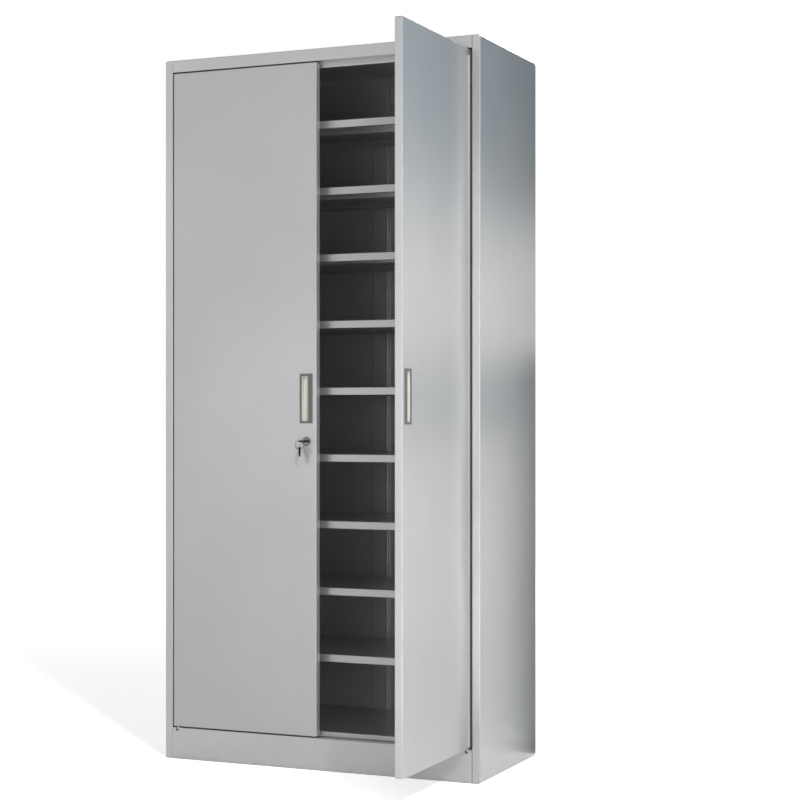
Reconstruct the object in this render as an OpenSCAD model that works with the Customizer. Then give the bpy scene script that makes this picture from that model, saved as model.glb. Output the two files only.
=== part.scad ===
// Two-door steel filing cabinet with adjustable shelves, flush pulls and a cam lock.
// Origin: bottom centre of the front plane. +X right seen from the front, +Y back, +Z up.
// The left door is drawn closed and the right door is drawn open at open_angle.

/* [Cabinet] */
// Overall width
body_w = 900; // [700:1:1000]
// Overall depth without the doors
body_d = 400; // [350:1:500]
// Overall height
body_h = 1850; // [1750:1:2000]
// Thickness of the carcass sheet
sheet = 1; // [0.8:0.1:1.2]
// Outside radius of a sheet bend
bend = 2; // [1.6:0.1:2.5]
// Width of the front stile on each side panel
stile_w = 22; // [20:1:30]
// Radius of the outer corners seen from the front
front_round = 8; // [4:0.5:12]
// Radius of the rear corners seen from the side
rear_round = 18; // [6:1:25]
// Height of the header face above the doors
header_h = 32; // [28:1:45]
// Height of the plinth face under the doors
plinth_h = 83; // [70:1:120]
// Depth of the door recess, from the front plane to the stop strips
stop_depth = 26; // [25:0.5:30]
// Height of the stop strips above and below the doors
stop_h = 14; // [12:0.5:20]
// Seam between a side panel and the header or plinth
seam = 0.5; // [0.3:0.1:1]
// Height of the closed rim at the top of each side panel
rim_h = 28; // [26:1:31]
// Width of the channel on the back sheet
stiffener_w = 44; // [30:1:80]
// Width of each welded edge of the channel on the back sheet
stiffener_edge = 18; // [12:1:25]
// Number of rivets on each side of the back sheet
rivet_count = 9; // [5:1:14]
// Diameter of the rivets
rivet_d = 4; // [3:0.5:5]
// Diameter of the carcass bolts
bolt_d = 6; // [4:0.5:6]

/* [Doors] */
// Thickness of a door
door_t = 20; // [18:0.5:21]
// Gap round each door
door_gap = 3; // [2.5:0.1:4]
// Width of the lips turned in at the back of a door
door_lip = 12; // [10:0.5:14]
// Radius of a door's corners seen from the front
door_corner = 3; // [2:0.5:5]
// Radius of the top and bottom edges at the back of a door
door_back_round = 5; // [3:0.5:6]
// Angle at which the right door is drawn open
open_angle = 90; // [0:5:100]
// Width of the stiffening channel inside a door
rib_w = 30; // [20:1:50]
// Depth of the stiffening channel inside a door
rib_d = 15; // [8:1:16]
// Width of each welded edge of the stiffening channel
rib_edge = 14; // [8:1:20]
// Distance from each end of a door to its stiffening channel
rib_end = 25; // [15:5:60]
// Diameter of the rubber bumpers
bumper_d = 5.6; // [4:0.1:7]
// Distance from a door's free edge to its bumpers
bumper_inset = 58; // [45:1:100]

/* [Hinges] */
// Diameter of the hinge pins
pin_d = 6; // [5:0.5:7]
// Distance from the hinge edge of a door to the pin centre
pin_edge = 11.5; // [11:0.1:12]
// Distance from the door's front face to the pin centre
pin_depth = 8.5; // [8:0.1:9]
// Radial running clearance of the pins in their bushes
pin_clear = 0.05; // [0.03:0.01:0.1]
// Length of pin inside the door
pin_reach = 10; // [8:1:16]
// Wall of the hinge bushes
bush_wall = 1.45; // [1:0.05:2]
// Thickness of the bush flanges and of the thrust washers
washer_t = 1.4; // [1:0.1:1.4]
// Diameter of the bush flanges and of the thrust washers
washer_d = 13; // [12:0.5:15]
// Thickness of the hinge plates and brackets
plate_t = 3; // [2:0.5:4]
// Length of the hinge plates and brackets
plate_w = 30; // [24:1:40]
// Width of the notch in the plinth in front of each lower pin
notch_w = 9; // [8:0.5:12]

/* [Shelves] */
// Number of shelves
shelf_count = 9; // [1:1:9]
// Pitch of the slots in the uprights
slot_pitch = 24.6; // [20:0.1:26]
// Height of the lowest slots above the deck
slot_base = 27; // [6:1:30]
// Number of slots from one shelf to the next
shelf_steps = 7; // [4:1:7]
// Number of the slot that carries the lowest shelf
first_slot = 6; // [2:1:6]
// Height of the turned edge of a shelf
shelf_edge = 20; // [15:1:30]
// Distance from the front plane to the front of a shelf
shelf_front = 45; // [40:1:60]
// Distance from the back of a shelf to the back plane
shelf_back = 15; // [14:1:40]
// Gap between a shelf and the stile line on each side
shelf_side = 1.7; // [1.5:0.1:3]
// Width of the return under each shelf edge
shelf_return = 12; // [8:1:14]
// Width of an upright
upright_w = 30; // [24:1:40]
// Distance from the door recess to the front uprights
upright_front = 34; // [25:1:60]
// Distance from the rear uprights to the back plane
upright_back = 32; // [30:1:60]
// Length of a slot, across the upright
slot_w = 10; // [8:0.5:14]
// Height of a slot
slot_h = 4; // [3:0.5:6]
// Depth of an upright, from the side wall
upright_t = 20; // [16:1:20]
// Width of the welded rib under a shelf
shelf_rib_w = 60; // [40:1:120]
// Depth of the welded rib under a shelf
shelf_rib_d = 12; // [8:0.5:12]
// Length of the tongue of a shelf clip
clip_l = 15; // [10:1:20]
// Thickness of a shelf clip
clip_t = 1.2; // [1:0.1:1.5]

/* [Pulls] */
// Width of a pull
pull_w = 36; // [32:0.5:38]
// Height of a pull
pull_h = 127; // [100:1:150]
// Height of the centre of the pulls above the floor
pull_z = 953; // [900:1:1100]
// Distance from a door's free edge to the centre of its pull
pull_inset = 29.5; // [28:0.5:36]
// Width of the frame round the cup
pull_frame = 5; // [4:0.5:7]
// Width of the finger lip on the free edge side
pull_lip = 11; // [8:0.5:13]
// How far the frame stands out from the door
pull_proud = 1.8; // [1:0.1:3]
// Depth of the cup behind the door face
cup_d = 12; // [8:0.5:12]
// Wall of the cup
cup_wall = 1.2; // [1:0.1:2]
// Rounding of the outer front edges of the frame
pull_edge = 0.8; // [0.3:0.1:1]

/* [Lock] */
// Distance from the left door's free edge to the lock
lock_inset = 29.6; // [29:0.1:33]
// Height of the lock above the floor
lock_z = 843; // [700:1:850]
// Diameter of the rosette
rosette_d = 23; // [21:0.5:26]
// Thickness of the rosette
rosette_t = 3; // [2:0.1:4]
// Diameter of the lock barrel
barrel_d = 17.6; // [16:0.1:17.6]
// Diameter of the turning plug
plug_d = 12.9; // [11:0.1:13]
// Length of the cam tongue from the lock axis
tongue_l = 43; // [40:0.5:44]
// Width of the cam tongue
tongue_w = 14; // [10:0.5:16]
// Travel of each lock rod when the key turns a quarter
rod_stroke = 16; // [12:0.5:16]
// Diameter of the lock rods
rod_d = 5; // [4:0.5:5]
// Distance from the door's front face to the rod axes
rod_depth = 15.5; // [15.5:0.1:15.8]
// Sideways distance from the lock axis to each rod
rod_side = 10.5; // [9:0.5:11]

/* [Keys] */
// Diameter of a key's head
bow_d = 22; // [20:0.5:24]
// Thickness of a key's head
bow_t = 4; // [3:0.1:4.2]
// Diameter of the hole in a key's head
bow_hole = 11; // [10:0.5:12]
// Distance from the door face to the centre of the inserted key's head
bow_out = 18.5; // [18:0.5:26]
// Width of a key's blade
blade_w = 8.2; // [7:0.1:9]
// Thickness of a key's blade
blade_t = 2.2; // [1.8:0.1:2.6]
// Length of a key's blade below its shoulder
blade_l = 19; // [16:0.5:20]
// Length of a key's moulded shoulder beyond the rim of its head
shoulder_l = 3; // [2:0.5:4]
// Outside diameter of the key ring
ring_d = 25; // [24.5:0.5:30]
// Thickness of the key ring's wire
ring_t = 1.5; // [1.2:0.1:1.6]
// Angle by which the ring is turned round the vertical, to the right seen from the front
ring_turn = 15; // [0:2.5:15]
// Angle by which the spare key is turned round the vertical, to the right seen from the front
spare_turn = 22.5; // [0:2.5:25]

/* [Hidden] */
$fn = 48;

paint = "#b7babb";
paint_dark = "#a9acad";
paint_inside = "#a4a6a6";
steel = "#c3c5c6";
chrome = "#8f9294";
nylon = "#26272a";
rubber = "#1d1d1f";
pull_grey = "#737370";
cup_grey = "#c8cabe";

// Small distance by which cutting shapes pass the faces that they cut
over = 1;
// Room left between pieces that are set beside each other
fit = 0.2;

half_w = body_w / 2;
stile_x = half_w - stile_w;
wall_x = half_w - sheet;
panel_x = stile_x - seam;
mid = sheet / 2;
bend_mid = bend - mid;
header_z = body_h - header_h;
deck_z = plinth_h + stop_h;
ceiling_z = header_z - stop_h;
rim_z = body_h - rim_h;
back_y = body_d - sheet;
stop_return = 12;
deck_return = 15;
ledge_return = 20;
foot_return = 20;

// Doors, drawn closed on the right side and mirrored for the left
door_x0 = door_gap / 2;
door_x1 = stile_x - door_gap;
door_z0 = plinth_h + door_gap;
door_z1 = header_z - door_gap;
door_mid_x = (door_x0 + door_x1) / 2;
door_mid_z = (door_z0 + door_z1) / 2;
pin_x = door_x1 - pin_edge;
pin_y = pin_depth;

// Hinge stack, measured up from the plinth top and mirrored for the header
bush_r = pin_d / 2 + pin_clear + bush_wall;
press = 0.1;
plate_y0 = bend;
plate_y1 = door_t - door_back_round - fit;
bracket_y1 = stop_depth - 4;
pin_hole = pin_d + 0.6;
pin_head_t = 3;
pin_head_d = pin_d + 3;
bumper_gap = 0.3;

// Uprights, slots and shelves
upright_x = wall_x - upright_t;
upright_z0 = deck_z + 1;
upright_z1 = rim_z - 1;
upright_y0 = stop_depth + upright_front;
upright_y1 = body_d - upright_back - upright_w;
slot_z0 = deck_z + slot_base;
slot_count = floor((upright_z1 - slot_z0 - slot_h) / slot_pitch) + 1;
shelf_x = stile_x - shelf_side;
shelf_y1 = body_d - shelf_back;
hook_w = slot_w - 2;
hook_t = slot_h - 1;
hook_reach = 2;
hook_drop = 4;
hook_play = 0.3;
clip_w = slot_w + 8;
clip_drop = 14;
shelf_rib_edge = 12;
stiffener_gap = 2;

// Pulls
pull_x = door_x0 + pull_inset;
pull_ledge = 1.5;
cup_w = pull_w - 2 * pull_ledge;
cup_h = pull_h - 2 * pull_ledge;
cup_fit = 0.25;
cup_ear = 2;
cup_ear_w = 10;
pull_corner = 1;

// Lock, on the left door
lock_x = -(door_x0 + lock_inset);
rosette_bevel = 1;
plug_clear = 0.05;
plug_proud = 0.5;
barrel_end = door_t - 2.5;
nut_af = 22;
nut_t = 4;
yoke_t = 2;
yoke_y0 = barrel_end + 0.7;
cam_t = 2;
cam_y0 = yoke_y0 + yoke_t + 0.5;
cam_pin_r = rod_stroke / sqrt(2);
cam_pin_d = 3.5;
cam_pin_z = rod_stroke / 2;
cam_disc_r = cam_pin_r + cam_pin_d / 2 + 1;
tail_r = 4;
tongue_round = 3;
screw_head_d = 10;
screw_head_t = 2.6;
screw_d = 3.5;
screw_l = 1.5;
screw_slot_w = 1.2;
screw_slot_t = 1.4;
yoke_slack = 0.55;
yoke_end = 3.7;
yoke_x0 = cam_pin_z - cam_pin_d / 2 - yoke_slack;
yoke_x1 = cam_pin_r + cam_pin_d / 2 + 2.5;
yoke_top = 34;
rod_start = 24;
rod_end = 0.5;
rod_hole = 0.3;
rod_port = 1;
guide_w = 12;
guide_t = 1.5;
guide_h = 14;
guide_span = [0.42, 0.84];
keyway_clear = 0.2;

// Keys
shoulder_w = 12;
shoulder_y = bow_d / 2 + shoulder_l;
key_front = -bow_out + shoulder_y;
cut_count = 5;
cut_w = 3;
cut_out = 1.6;
cut_vary = 0.4;
cut_first = 0.38;
cut_share = 0.13;
ring_mid_r = (ring_d - ring_t) / 2;
rim_mid = (bow_d + bow_hole) / 4;
ring_drop = 8.1;
ring_x = lock_x - rim_mid * cos(ring_turn);
ring_y = -bow_out - rim_mid * sin(ring_turn);
ring_z = lock_z - ring_drop;
hang_gap = 0.25;
wire_z = ring_z - ring_mid_r;
spare_z = wire_z + ring_t / 2 + hang_gap - bow_hole / 2;

// Extrusions along the three axes; the flat shapes are drawn in (x, y), (x, z) and (y, z)
module along_z(z0, z1) {
  translate([0, 0, z0]) linear_extrude(z1 - z0) children();
}

module along_y(y0, y1) {
  translate([0, y1, 0]) rotate([90, 0, 0]) linear_extrude(y1 - y0) children();
}

module along_x(x0, x1) {
  translate([x0, 0, 0]) rotate([90, 0, 90]) linear_extrude(x1 - x0) children();
}

// Box between two corners
module box(lo, hi) {
  translate(lo) cube(hi - lo);
}

// Rod or hole of diameter d along one axis
module rod_z(x, y, z0, z1, d) {
  translate([x, y, z0]) cylinder(d = d, h = z1 - z0);
}

module rod_y(x, z, y0, y1, d) {
  translate([x, y0, z]) rotate([-90, 0, 0]) cylinder(d = d, h = y1 - y0);
}

module rod_x(y, z, x0, x1, d) {
  translate([x0, y, z]) rotate([0, 90, 0]) cylinder(d = d, h = x1 - x0);
}

// Rectangle whose corners, from the lower left one anticlockwise, have the given radii
module soft_rect(lo, hi, radii) {
  difference() {
    translate(lo) square(hi - lo);
    for (i = [0:3]) {
      if (radii[i] > 0) {
        side = [i == 1 || i == 2 ? 1 : -1, i >= 2 ? 1 : -1];
        corner = [side[0] > 0 ? hi[0] : lo[0], side[1] > 0 ? hi[1] : lo[1]];
        centre = corner - radii[i] * side;
        far = corner + over * side;
        difference() {
          translate([min(centre[0], far[0]), min(centre[1], far[1])]) square(radii[i] + over);
          translate(centre) circle(r = radii[i]);
        }
      }
    }
  }
}

// Radius of bend i, from one number or a list with one radius for each point
function radius_at(r, i) = is_list(r) ? r[i] : r;

// Section of a bent sheet of thickness t that follows a square-cornered middle line
module bent(points, t, r) {
  last = len(points) - 1;
  for (i = [0:last - 1]) {
    run = points[i + 1] - points[i];
    way = run / norm(run);
    start = points[i] + (i == 0 ? 0 : radius_at(r, i)) * way;
    stop = points[i + 1] - (i == last - 1 ? 0 : radius_at(r, i + 1)) * way;
    across = t / 2 * [abs(way[1]), abs(way[0])];
    low = [min(start[0], stop[0]), min(start[1], stop[1])] - across;
    high = [max(start[0], stop[0]), max(start[1], stop[1])] + across;
    translate(low) square(high - low);
  }
  for (i = [1:last - 1]) {
    back = points[i - 1] - points[i];
    fore = points[i + 1] - points[i];
    inward = back / norm(back) + fore / norm(fore);
    rm = radius_at(r, i);
    centre = points[i] + rm * inward;
    reach = rm + t;
    translate(centre) intersection() {
      difference() {
        circle(r = rm + t / 2);
        circle(r = rm - t / 2);
      }
      translate([inward[0] > 0 ? -reach : 0, inward[1] > 0 ? -reach : 0]) square(reach);
    }
  }
}

// Draws its children on the right and mirrored on the left
module both_sides() {
  children();
  mirror([1, 0, 0]) children();
}

// Draws its children at the bottom of the door opening and mirrored at its top
module both_ends() {
  children();
  translate([0, 0, plinth_h + header_z]) mirror([0, 0, 1]) children();
}

// Outer shape of a side panel, drawn in by inset
module side_form(x0, inset, radius_cut) {
  round_in = bend - radius_cut;
  intersection() {
    along_z(inset, body_h - inset)
      soft_rect([x0, inset], [half_w - inset, body_d - inset], [round_in, round_in, round_in, 0]);
    along_y(0, body_d)
      soft_rect([x0, inset], [half_w - inset, body_h - inset],
        [0, front_round - radius_cut, front_round - radius_cut, 0]);
    along_x(x0, half_w)
      soft_rect([inset, inset], [body_d - inset, body_h - inset],
        [round_in, rear_round - radius_cut, rear_round - radius_cut, round_in]);
  }
}

// Bolt places that join the side panels to the top, the deck and the plinths: [y, z]
bolt_hole = bolt_d + 0.4;
bolt_head_d = bolt_d + 5;
bolt_head_t = 3.5;
bolt_nut_d = bolt_d + 5.5;
bolt_nut_t = 5;
bolt_end = bolt_nut_t + 2;
bolt_y = [body_d * 0.3, body_d * 0.75];
top_bolt_z = body_h - rim_h / 2 - 2;
deck_bolt_z = deck_z - 8;
plinth_bolt_z = plinth_h / 2;
plinth_foot = 45;
plinth_flange = 22;
bolts = concat(
  [for (y = bolt_y) [y, top_bolt_z]],
  [for (y = bolt_y) [y, deck_bolt_z]],
  [[bend + plinth_flange / 2, plinth_bolt_z], [body_d - plinth_foot + 14, plinth_bolt_z]]
);

module bolt_holes() {
  for (b = bolts) {
    rod_x(b[0], b[1], panel_x - 2 * sheet - over, stile_x + sheet + over, bolt_hole);
  }
}

// Right side panel: a tray with a front stile, open to the inside between its rims
module side_panel() {
  difference() {
    side_form(stile_x, 0, 0);
    side_form(stile_x + sheet, sheet, sheet);
    box([stile_x - over, stop_depth, deck_z], [stile_x + bend, back_y, rim_z]);
    box([stile_x - over, back_y - 2 * sheet, rear_round + 1], [stile_x + bend, back_y, body_h - rear_round]);
    bolt_holes();
  }
}

module left_side_panel() {
  color(paint) mirror([1, 0, 0]) side_panel();
}

module right_side_panel() {
  color(paint) side_panel();
}

// End flange of a cross panel, bolted to the rim of a side panel
module end_flange(y0, y1, z0, z1) {
  difference() {
    box([panel_x - sheet, y0, z0], [panel_x, y1, z1]);
    bolt_holes();
  }
}

// Port in a cross panel for the end of a lock rod
module rod_port_hole(side, z) {
  rod_z(lock_x + side * rod_side, rod_depth, z - over, z + sheet + over, rod_d + 2 * rod_port);
}

// Top sheet with its header, door return and stop strip in front and its flange behind
module top_panel() {
  color(paint) {
    difference() {
      along_x(-panel_x, panel_x)
        bent(
          [[body_d - mid, ceiling_z], [body_d - mid, body_h - mid], [mid, body_h - mid], [mid, header_z + mid],
            [stop_depth + mid, header_z + mid], [stop_depth + mid, ceiling_z + mid],
            [stop_depth + stop_return, ceiling_z + mid]],
          sheet, [0, rear_round - mid, bend_mid, bend_mid, bend_mid, bend_mid, 0]);
      rod_port_hole(1, header_z);
      both_sides() rod_z(pin_x, pin_y, header_z - over, header_z + sheet + over, pin_hole);
    }
    both_sides() end_flange(stop_depth + bend, body_d - rear_round, rim_z + bend, body_h - mid);
  }
}

// Bottom of the inside, with its stop strip in front
module base_deck() {
  color(paint_dark) {
    along_x(-panel_x, panel_x)
      bent(
        [[stop_depth + deck_return, plinth_h + mid], [stop_depth + mid, plinth_h + mid],
          [stop_depth + mid, deck_z - mid], [back_y - sheet - mid, deck_z - mid],
          [back_y - sheet - mid, plinth_h]],
        sheet, bend_mid);
    both_sides()
      end_flange(stop_depth + deck_return + bend, back_y - sheet - bend, plinth_h + sheet, deck_z - mid);
  }
}

// Opening in front of a lower hinge pin
module pin_notch() {
  box([pin_x - notch_w / 2, -over, plinth_h - notch_w],
    [pin_x + notch_w / 2, bend + mid, plinth_h + over]);
}

// Front of the plinth, with the ledge that carries the doors and the deck
module plinth_front() {
  color(paint) {
    difference() {
      along_x(-panel_x, panel_x)
        bent(
          [[foot_return, mid], [mid, mid], [mid, plinth_h - mid],
            [stop_depth + ledge_return, plinth_h - mid]],
          sheet, bend_mid);
      rod_port_hole(-1, plinth_h - sheet);
      both_sides() rod_z(pin_x, pin_y, plinth_h - sheet - over, plinth_h + over, pin_hole);
      both_sides() pin_notch();
    }
    both_sides() end_flange(bend, plinth_flange, mid, plinth_h - mid);
  }
}

// Rear rail of the plinth
module plinth_rear() {
  color(paint_dark) {
    along_x(-panel_x, panel_x)
      bent([[body_d - plinth_foot, mid], [body_d - mid, mid], [body_d - mid, deck_z]], sheet,
        [0, rear_round - mid, 0]);
    both_sides() end_flange(body_d - plinth_foot, body_d - rear_round, mid, plinth_h - bend);
  }
}

back_x = wall_x - 2 * bend;
back_z0 = rear_round + bend;
back_z1 = body_h - rear_round - bend;
rivet_head_d = 2 * rivet_d;
rivet_head_t = 1.2;
rivet_x = stile_x + stile_w / 2;
rivet_end = 60;
rivet_pitch = (back_z1 - back_z0 - 2 * rivet_end) / (rivet_count - 1);
rivet_z = [for (i = [0:rivet_count - 1]) back_z0 + rivet_end + i * rivet_pitch];

module rivet_holes() {
  both_sides() {
    for (z = rivet_z) {
      rod_y(rivet_x, z, back_y - sheet - over, back_y, rivet_d);
    }
  }
}

// Back sheet, inside the rear flanges of the side panels
module back_panel() {
  color(paint_inside)
    difference() {
      box([-back_x, back_y - sheet, back_z0], [back_x, back_y, back_z1]);
      rivet_holes();
    }
}

// Rivets that hold the back sheet to the side panels' rear flanges
module back_rivets() {
  color(steel)
    both_sides() {
      for (z = rivet_z) {
        rod_y(rivet_x, z, back_y - sheet, back_y, rivet_d);
        rod_y(rivet_x, z, back_y - sheet - rivet_head_t, back_y - sheet, rivet_head_d);
      }
    }
}

// Upright channel in front of the back sheet
module back_stiffener() {
  face_y = back_y - sheet - mid;
  crest_y = shelf_y1 + stiffener_gap + mid;
  rib_x = stiffener_w / 2;
  edge_x = rib_x + stiffener_edge;
  color(paint_inside)
    along_z(deck_z, rim_z)
      bent(
        [[-edge_x, face_y], [-rib_x, face_y], [-rib_x, crest_y], [rib_x, crest_y], [rib_x, face_y],
          [edge_x, face_y]],
        sheet, bend_mid);
}

// Slotted upright on the right side wall, with its near edge at y0
module upright(y0) {
  color(paint_inside)
    difference() {
      along_z(upright_z0, upright_z1)
        bent(
          [[wall_x, y0 + mid], [upright_x + mid, y0 + mid], [upright_x + mid, y0 + upright_w - mid],
            [wall_x, y0 + upright_w - mid]],
          sheet, bend_mid);
      for (i = [0:slot_count - 1]) {
        z = slot_z0 + i * slot_pitch;
        box([upright_x - over, y0 + (upright_w - slot_w) / 2, z - slot_h / 2],
          [upright_x + sheet + over, y0 + (upright_w + slot_w) / 2, z + slot_h / 2]);
      }
    }
}

module right_front_upright() {
  upright(upright_y0);
}

module right_rear_upright() {
  upright(upright_y1);
}

module left_front_upright() {
  mirror([1, 0, 0]) upright(upright_y0);
}

module left_rear_upright() {
  mirror([1, 0, 0]) upright(upright_y1);
}

// Height of the top of shelf k, whose clips hook into slots of the uprights
function shelf_z(k) = slot_z0 + slot_pitch * (first_slot + shelf_steps * (k - 1)) + hook_t / 2 + shelf_edge;

// Clip that hooks into a slot and carries one corner of a shelf
module shelf_clip(y0, z) {
  y = y0 + upright_w / 2;
  clip_x = upright_x - fit;
  box([clip_x - clip_l, y - clip_w / 2, z - clip_t], [clip_x, y + clip_w / 2, z]);
  box([clip_x - clip_t, y - clip_w / 2, z - clip_drop], [clip_x, y + clip_w / 2, z]);
  box([clip_x - clip_t, y - hook_w / 2, z - hook_t], [upright_x + sheet + hook_reach, y + hook_w / 2, z]);
  box([upright_x + sheet + hook_play, y - hook_w / 2, z - hook_t - hook_drop],
    [upright_x + sheet + hook_reach, y + hook_w / 2, z]);
}

module shelf_clips() {
  color(steel)
    both_sides() {
      for (k = [1:shelf_count]) {
        shelf_clip(upright_y0, shelf_z(k) - shelf_edge);
        shelf_clip(upright_y1, shelf_z(k) - shelf_edge);
      }
    }
}

// Shelf k: a tray turned down on all four edges, with a welded rib under it
module shelf(k) {
  z = shelf_z(k);
  low = z - shelf_edge + mid;
  weld_z = z - sheet - mid;
  rib_z = z - shelf_rib_d;
  far_y = shelf_rib_w - shelf_rib_edge;
  color(paint_dark) {
    along_x(-shelf_x, shelf_x)
      bent(
        [[shelf_front + shelf_return, low], [shelf_front + mid, low], [shelf_front + mid, z - mid],
          [shelf_y1 - mid, z - mid], [shelf_y1 - mid, low], [shelf_y1 - shelf_return, low]],
        sheet, bend_mid);
    both_sides()
      box([shelf_x - sheet, shelf_front + bend, z - shelf_edge],
        [shelf_x, shelf_y1 - bend, z - mid]);
    along_x(-shelf_x + sheet, shelf_x - sheet)
      translate([(shelf_front + shelf_y1 - shelf_rib_w) / 2, 0])
        bent(
          [[0, weld_z], [shelf_rib_edge, weld_z], [shelf_rib_edge, rib_z], [far_y, rib_z],
            [far_y, weld_z], [shelf_rib_w, weld_z]],
          sheet, bend_mid);
  }
}

// Bolts with nuts through the end flanges and the side panels' rims
module carcass_bolts() {
  color(steel)
    both_sides() {
      for (b = bolts) {
        rod_x(b[0], b[1], panel_x - sheet - bolt_head_t / 2, stile_x + sheet + bolt_end, bolt_d);
        rod_x(b[0], b[1], panel_x - sheet - bolt_head_t, panel_x - sheet, bolt_head_d);
        translate([stile_x + sheet, b[0], b[1]]) rotate([0, 90, 0])
          cylinder(d = bolt_nut_d, h = bolt_nut_t, $fn = 6);
      }
    }
}

// Right lower bracket, under the plinth ledge
module hinge_bracket() {
  difference() {
    box([panel_x - sheet - plate_w, bend, plinth_h - sheet - plate_t],
      [panel_x - sheet - fit, bracket_y1, plinth_h - sheet]);
    rod_z(pin_x, pin_y, plinth_h - sheet - plate_t - over, plinth_h, pin_d + 2 * press);
  }
}

module bottom_hinge_brackets() {
  color(steel) both_sides() hinge_bracket();
}

module top_hinge_brackets() {
  color(steel) both_sides() translate([0, 0, plinth_h + header_z]) mirror([0, 0, 1]) hinge_bracket();
}

// Four headed pins, fixed in the brackets and running in the door bushes
module hinge_pins() {
  head_z = plinth_h - sheet - plate_t;
  color(steel)
    both_sides() both_ends() {
      rod_z(pin_x, pin_y, head_z, door_z0 + pin_reach, pin_d);
      rod_z(pin_x, pin_y, head_z - pin_head_t, head_z, pin_head_d);
    }
}

// Washers that the doors stand on
module thrust_washers() {
  color(steel)
    both_sides()
      difference() {
        rod_z(pin_x, pin_y, plinth_h, plinth_h + washer_t, washer_d);
        rod_z(pin_x, pin_y, plinth_h - over, plinth_h + washer_t + over, pin_d + 2 * press);
      }
}

// Turns the closed right door to the angle at which it is drawn
module swung() {
  translate([pin_x, pin_y, 0]) rotate([0, 0, open_angle]) translate([-pin_x, -pin_y, 0]) children();
}

// Outer shape of a door, drawn in by inset
module door_form(inset) {
  edge = bend - inset;
  corner = door_corner - inset;
  back = door_back_round - inset;
  lo = [door_x0 + inset, inset, door_z0 + inset];
  hi = [door_x1 - inset, door_t - inset, door_z1 - inset];
  intersection() {
    along_z(lo[2], hi[2]) soft_rect([lo[0], lo[1]], [hi[0], hi[1]], [edge, edge, edge, edge]);
    along_y(lo[1], hi[1]) soft_rect([lo[0], lo[2]], [hi[0], hi[2]], [corner, corner, corner, corner]);
    along_x(lo[0], hi[0]) soft_rect([lo[1], lo[2]], [hi[1], hi[2]], [edge, back, back, edge]);
  }
}

// Closed right door panel: a tray with lips at the back, a pull opening and hinge holes
module door_panel() {
  difference() {
    door_form(0);
    door_form(sheet);
    box([door_x0 + door_lip, door_t - 2 * sheet, door_z0 + door_lip],
      [door_x1 - door_lip, door_t + over, door_z1 - door_lip]);
    box([pull_x - cup_w / 2 - cup_fit, -over, pull_z - cup_h / 2 - cup_fit],
      [pull_x + cup_w / 2 + cup_fit, sheet + over, pull_z + cup_h / 2 + cup_fit]);
    both_ends() rod_z(pin_x, pin_y, door_z0 - over, door_z0 + sheet + over, 2 * (bush_r + press));
  }
}

module right_door_panel() {
  color(paint) swung() door_panel();
}

module left_door_panel() {
  color(paint)
    difference() {
      mirror([1, 0, 0]) door_panel();
      rod_y(lock_x, lock_z, -over, sheet + over, barrel_d + 2 * fit);
      rod_z(lock_x + rod_side, rod_depth, door_mid_z, door_z1 + over, rod_d + 2 * rod_hole);
      rod_z(lock_x - rod_side, rod_depth, door_z0 - over, door_mid_z, rod_d + 2 * rod_hole);
    }
}

// Stiffening channel welded inside the closed right door
module door_channel() {
  color(paint_inside)
    along_z(door_z0 + rib_end, door_z1 - rib_end)
      translate([door_mid_x, 0])
        bent(
          [[-rib_w / 2 - rib_edge, sheet + mid], [-rib_w / 2, sheet + mid], [-rib_w / 2, rib_d],
            [rib_w / 2, rib_d], [rib_w / 2, sheet + mid], [rib_w / 2 + rib_edge, sheet + mid]],
          sheet, bend_mid);
}

module right_door_channel() {
  swung() door_channel();
}

module left_door_channel() {
  mirror([1, 0, 0]) door_channel();
}

// Plates behind the door's top and bottom flanges that hold the hinge bushes
module hinge_plates() {
  color(steel)
    both_ends()
      difference() {
        box([door_x1 - sheet - plate_w, plate_y0, door_z0 + sheet],
          [door_x1 - max(bend, door_corner), plate_y1, door_z0 + sheet + plate_t]);
        rod_z(pin_x, pin_y, door_z0, door_z0 + sheet + plate_t + over, 2 * (bush_r + press));
      }
}

module right_hinge_plates() {
  swung() hinge_plates();
}

module left_hinge_plates() {
  mirror([1, 0, 0]) hinge_plates();
}

// Flanged nylon bushes that run on the hinge pins
module hinge_bushes() {
  color(nylon)
    both_ends()
      difference() {
        union() {
          rod_z(pin_x, pin_y, door_z0 - washer_t, door_z0 + pin_reach - 2, 2 * bush_r);
          rod_z(pin_x, pin_y, door_z0 - washer_t, door_z0, washer_d);
        }
        rod_z(pin_x, pin_y, door_z0 - washer_t - over, door_z0 + pin_reach, pin_d + 2 * pin_clear);
      }
}

module right_hinge_bushes() {
  swung() hinge_bushes();
}

module left_hinge_bushes() {
  mirror([1, 0, 0]) hinge_bushes();
}

// Rubber bumpers on the back lips, facing the stop strips
module door_bumpers() {
  color(rubber)
    both_ends()
      rod_y(door_x0 + bumper_inset, door_z0 + door_back_round + bumper_d / 2, door_t,
        stop_depth - bumper_gap, bumper_d);
}

module right_door_bumpers() {
  swung() door_bumpers();
}

module left_door_bumpers() {
  mirror([1, 0, 0]) door_bumpers();
}

// Frame of a flush pull, with a wide finger lip towards the door's free edge
module pull_frame_part() {
  lo = [pull_x - pull_w / 2, pull_z - pull_h / 2];
  hi = [pull_x + pull_w / 2, pull_z + pull_h / 2];
  color(pull_grey)
    difference() {
      intersection() {
        along_y(-pull_proud, 0) soft_rect(lo, hi, [bend, bend, bend, bend]);
        along_z(lo[1], hi[1]) soft_rect([lo[0], -pull_proud], [hi[0], over], [pull_edge, pull_edge, 0, 0]);
      }
      along_y(-pull_proud - over, over)
        soft_rect([lo[0] + pull_lip, lo[1] + pull_frame], [hi[0] - pull_frame, hi[1] - pull_frame],
          [pull_corner, pull_corner, pull_corner, pull_corner]);
    }
}

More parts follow.
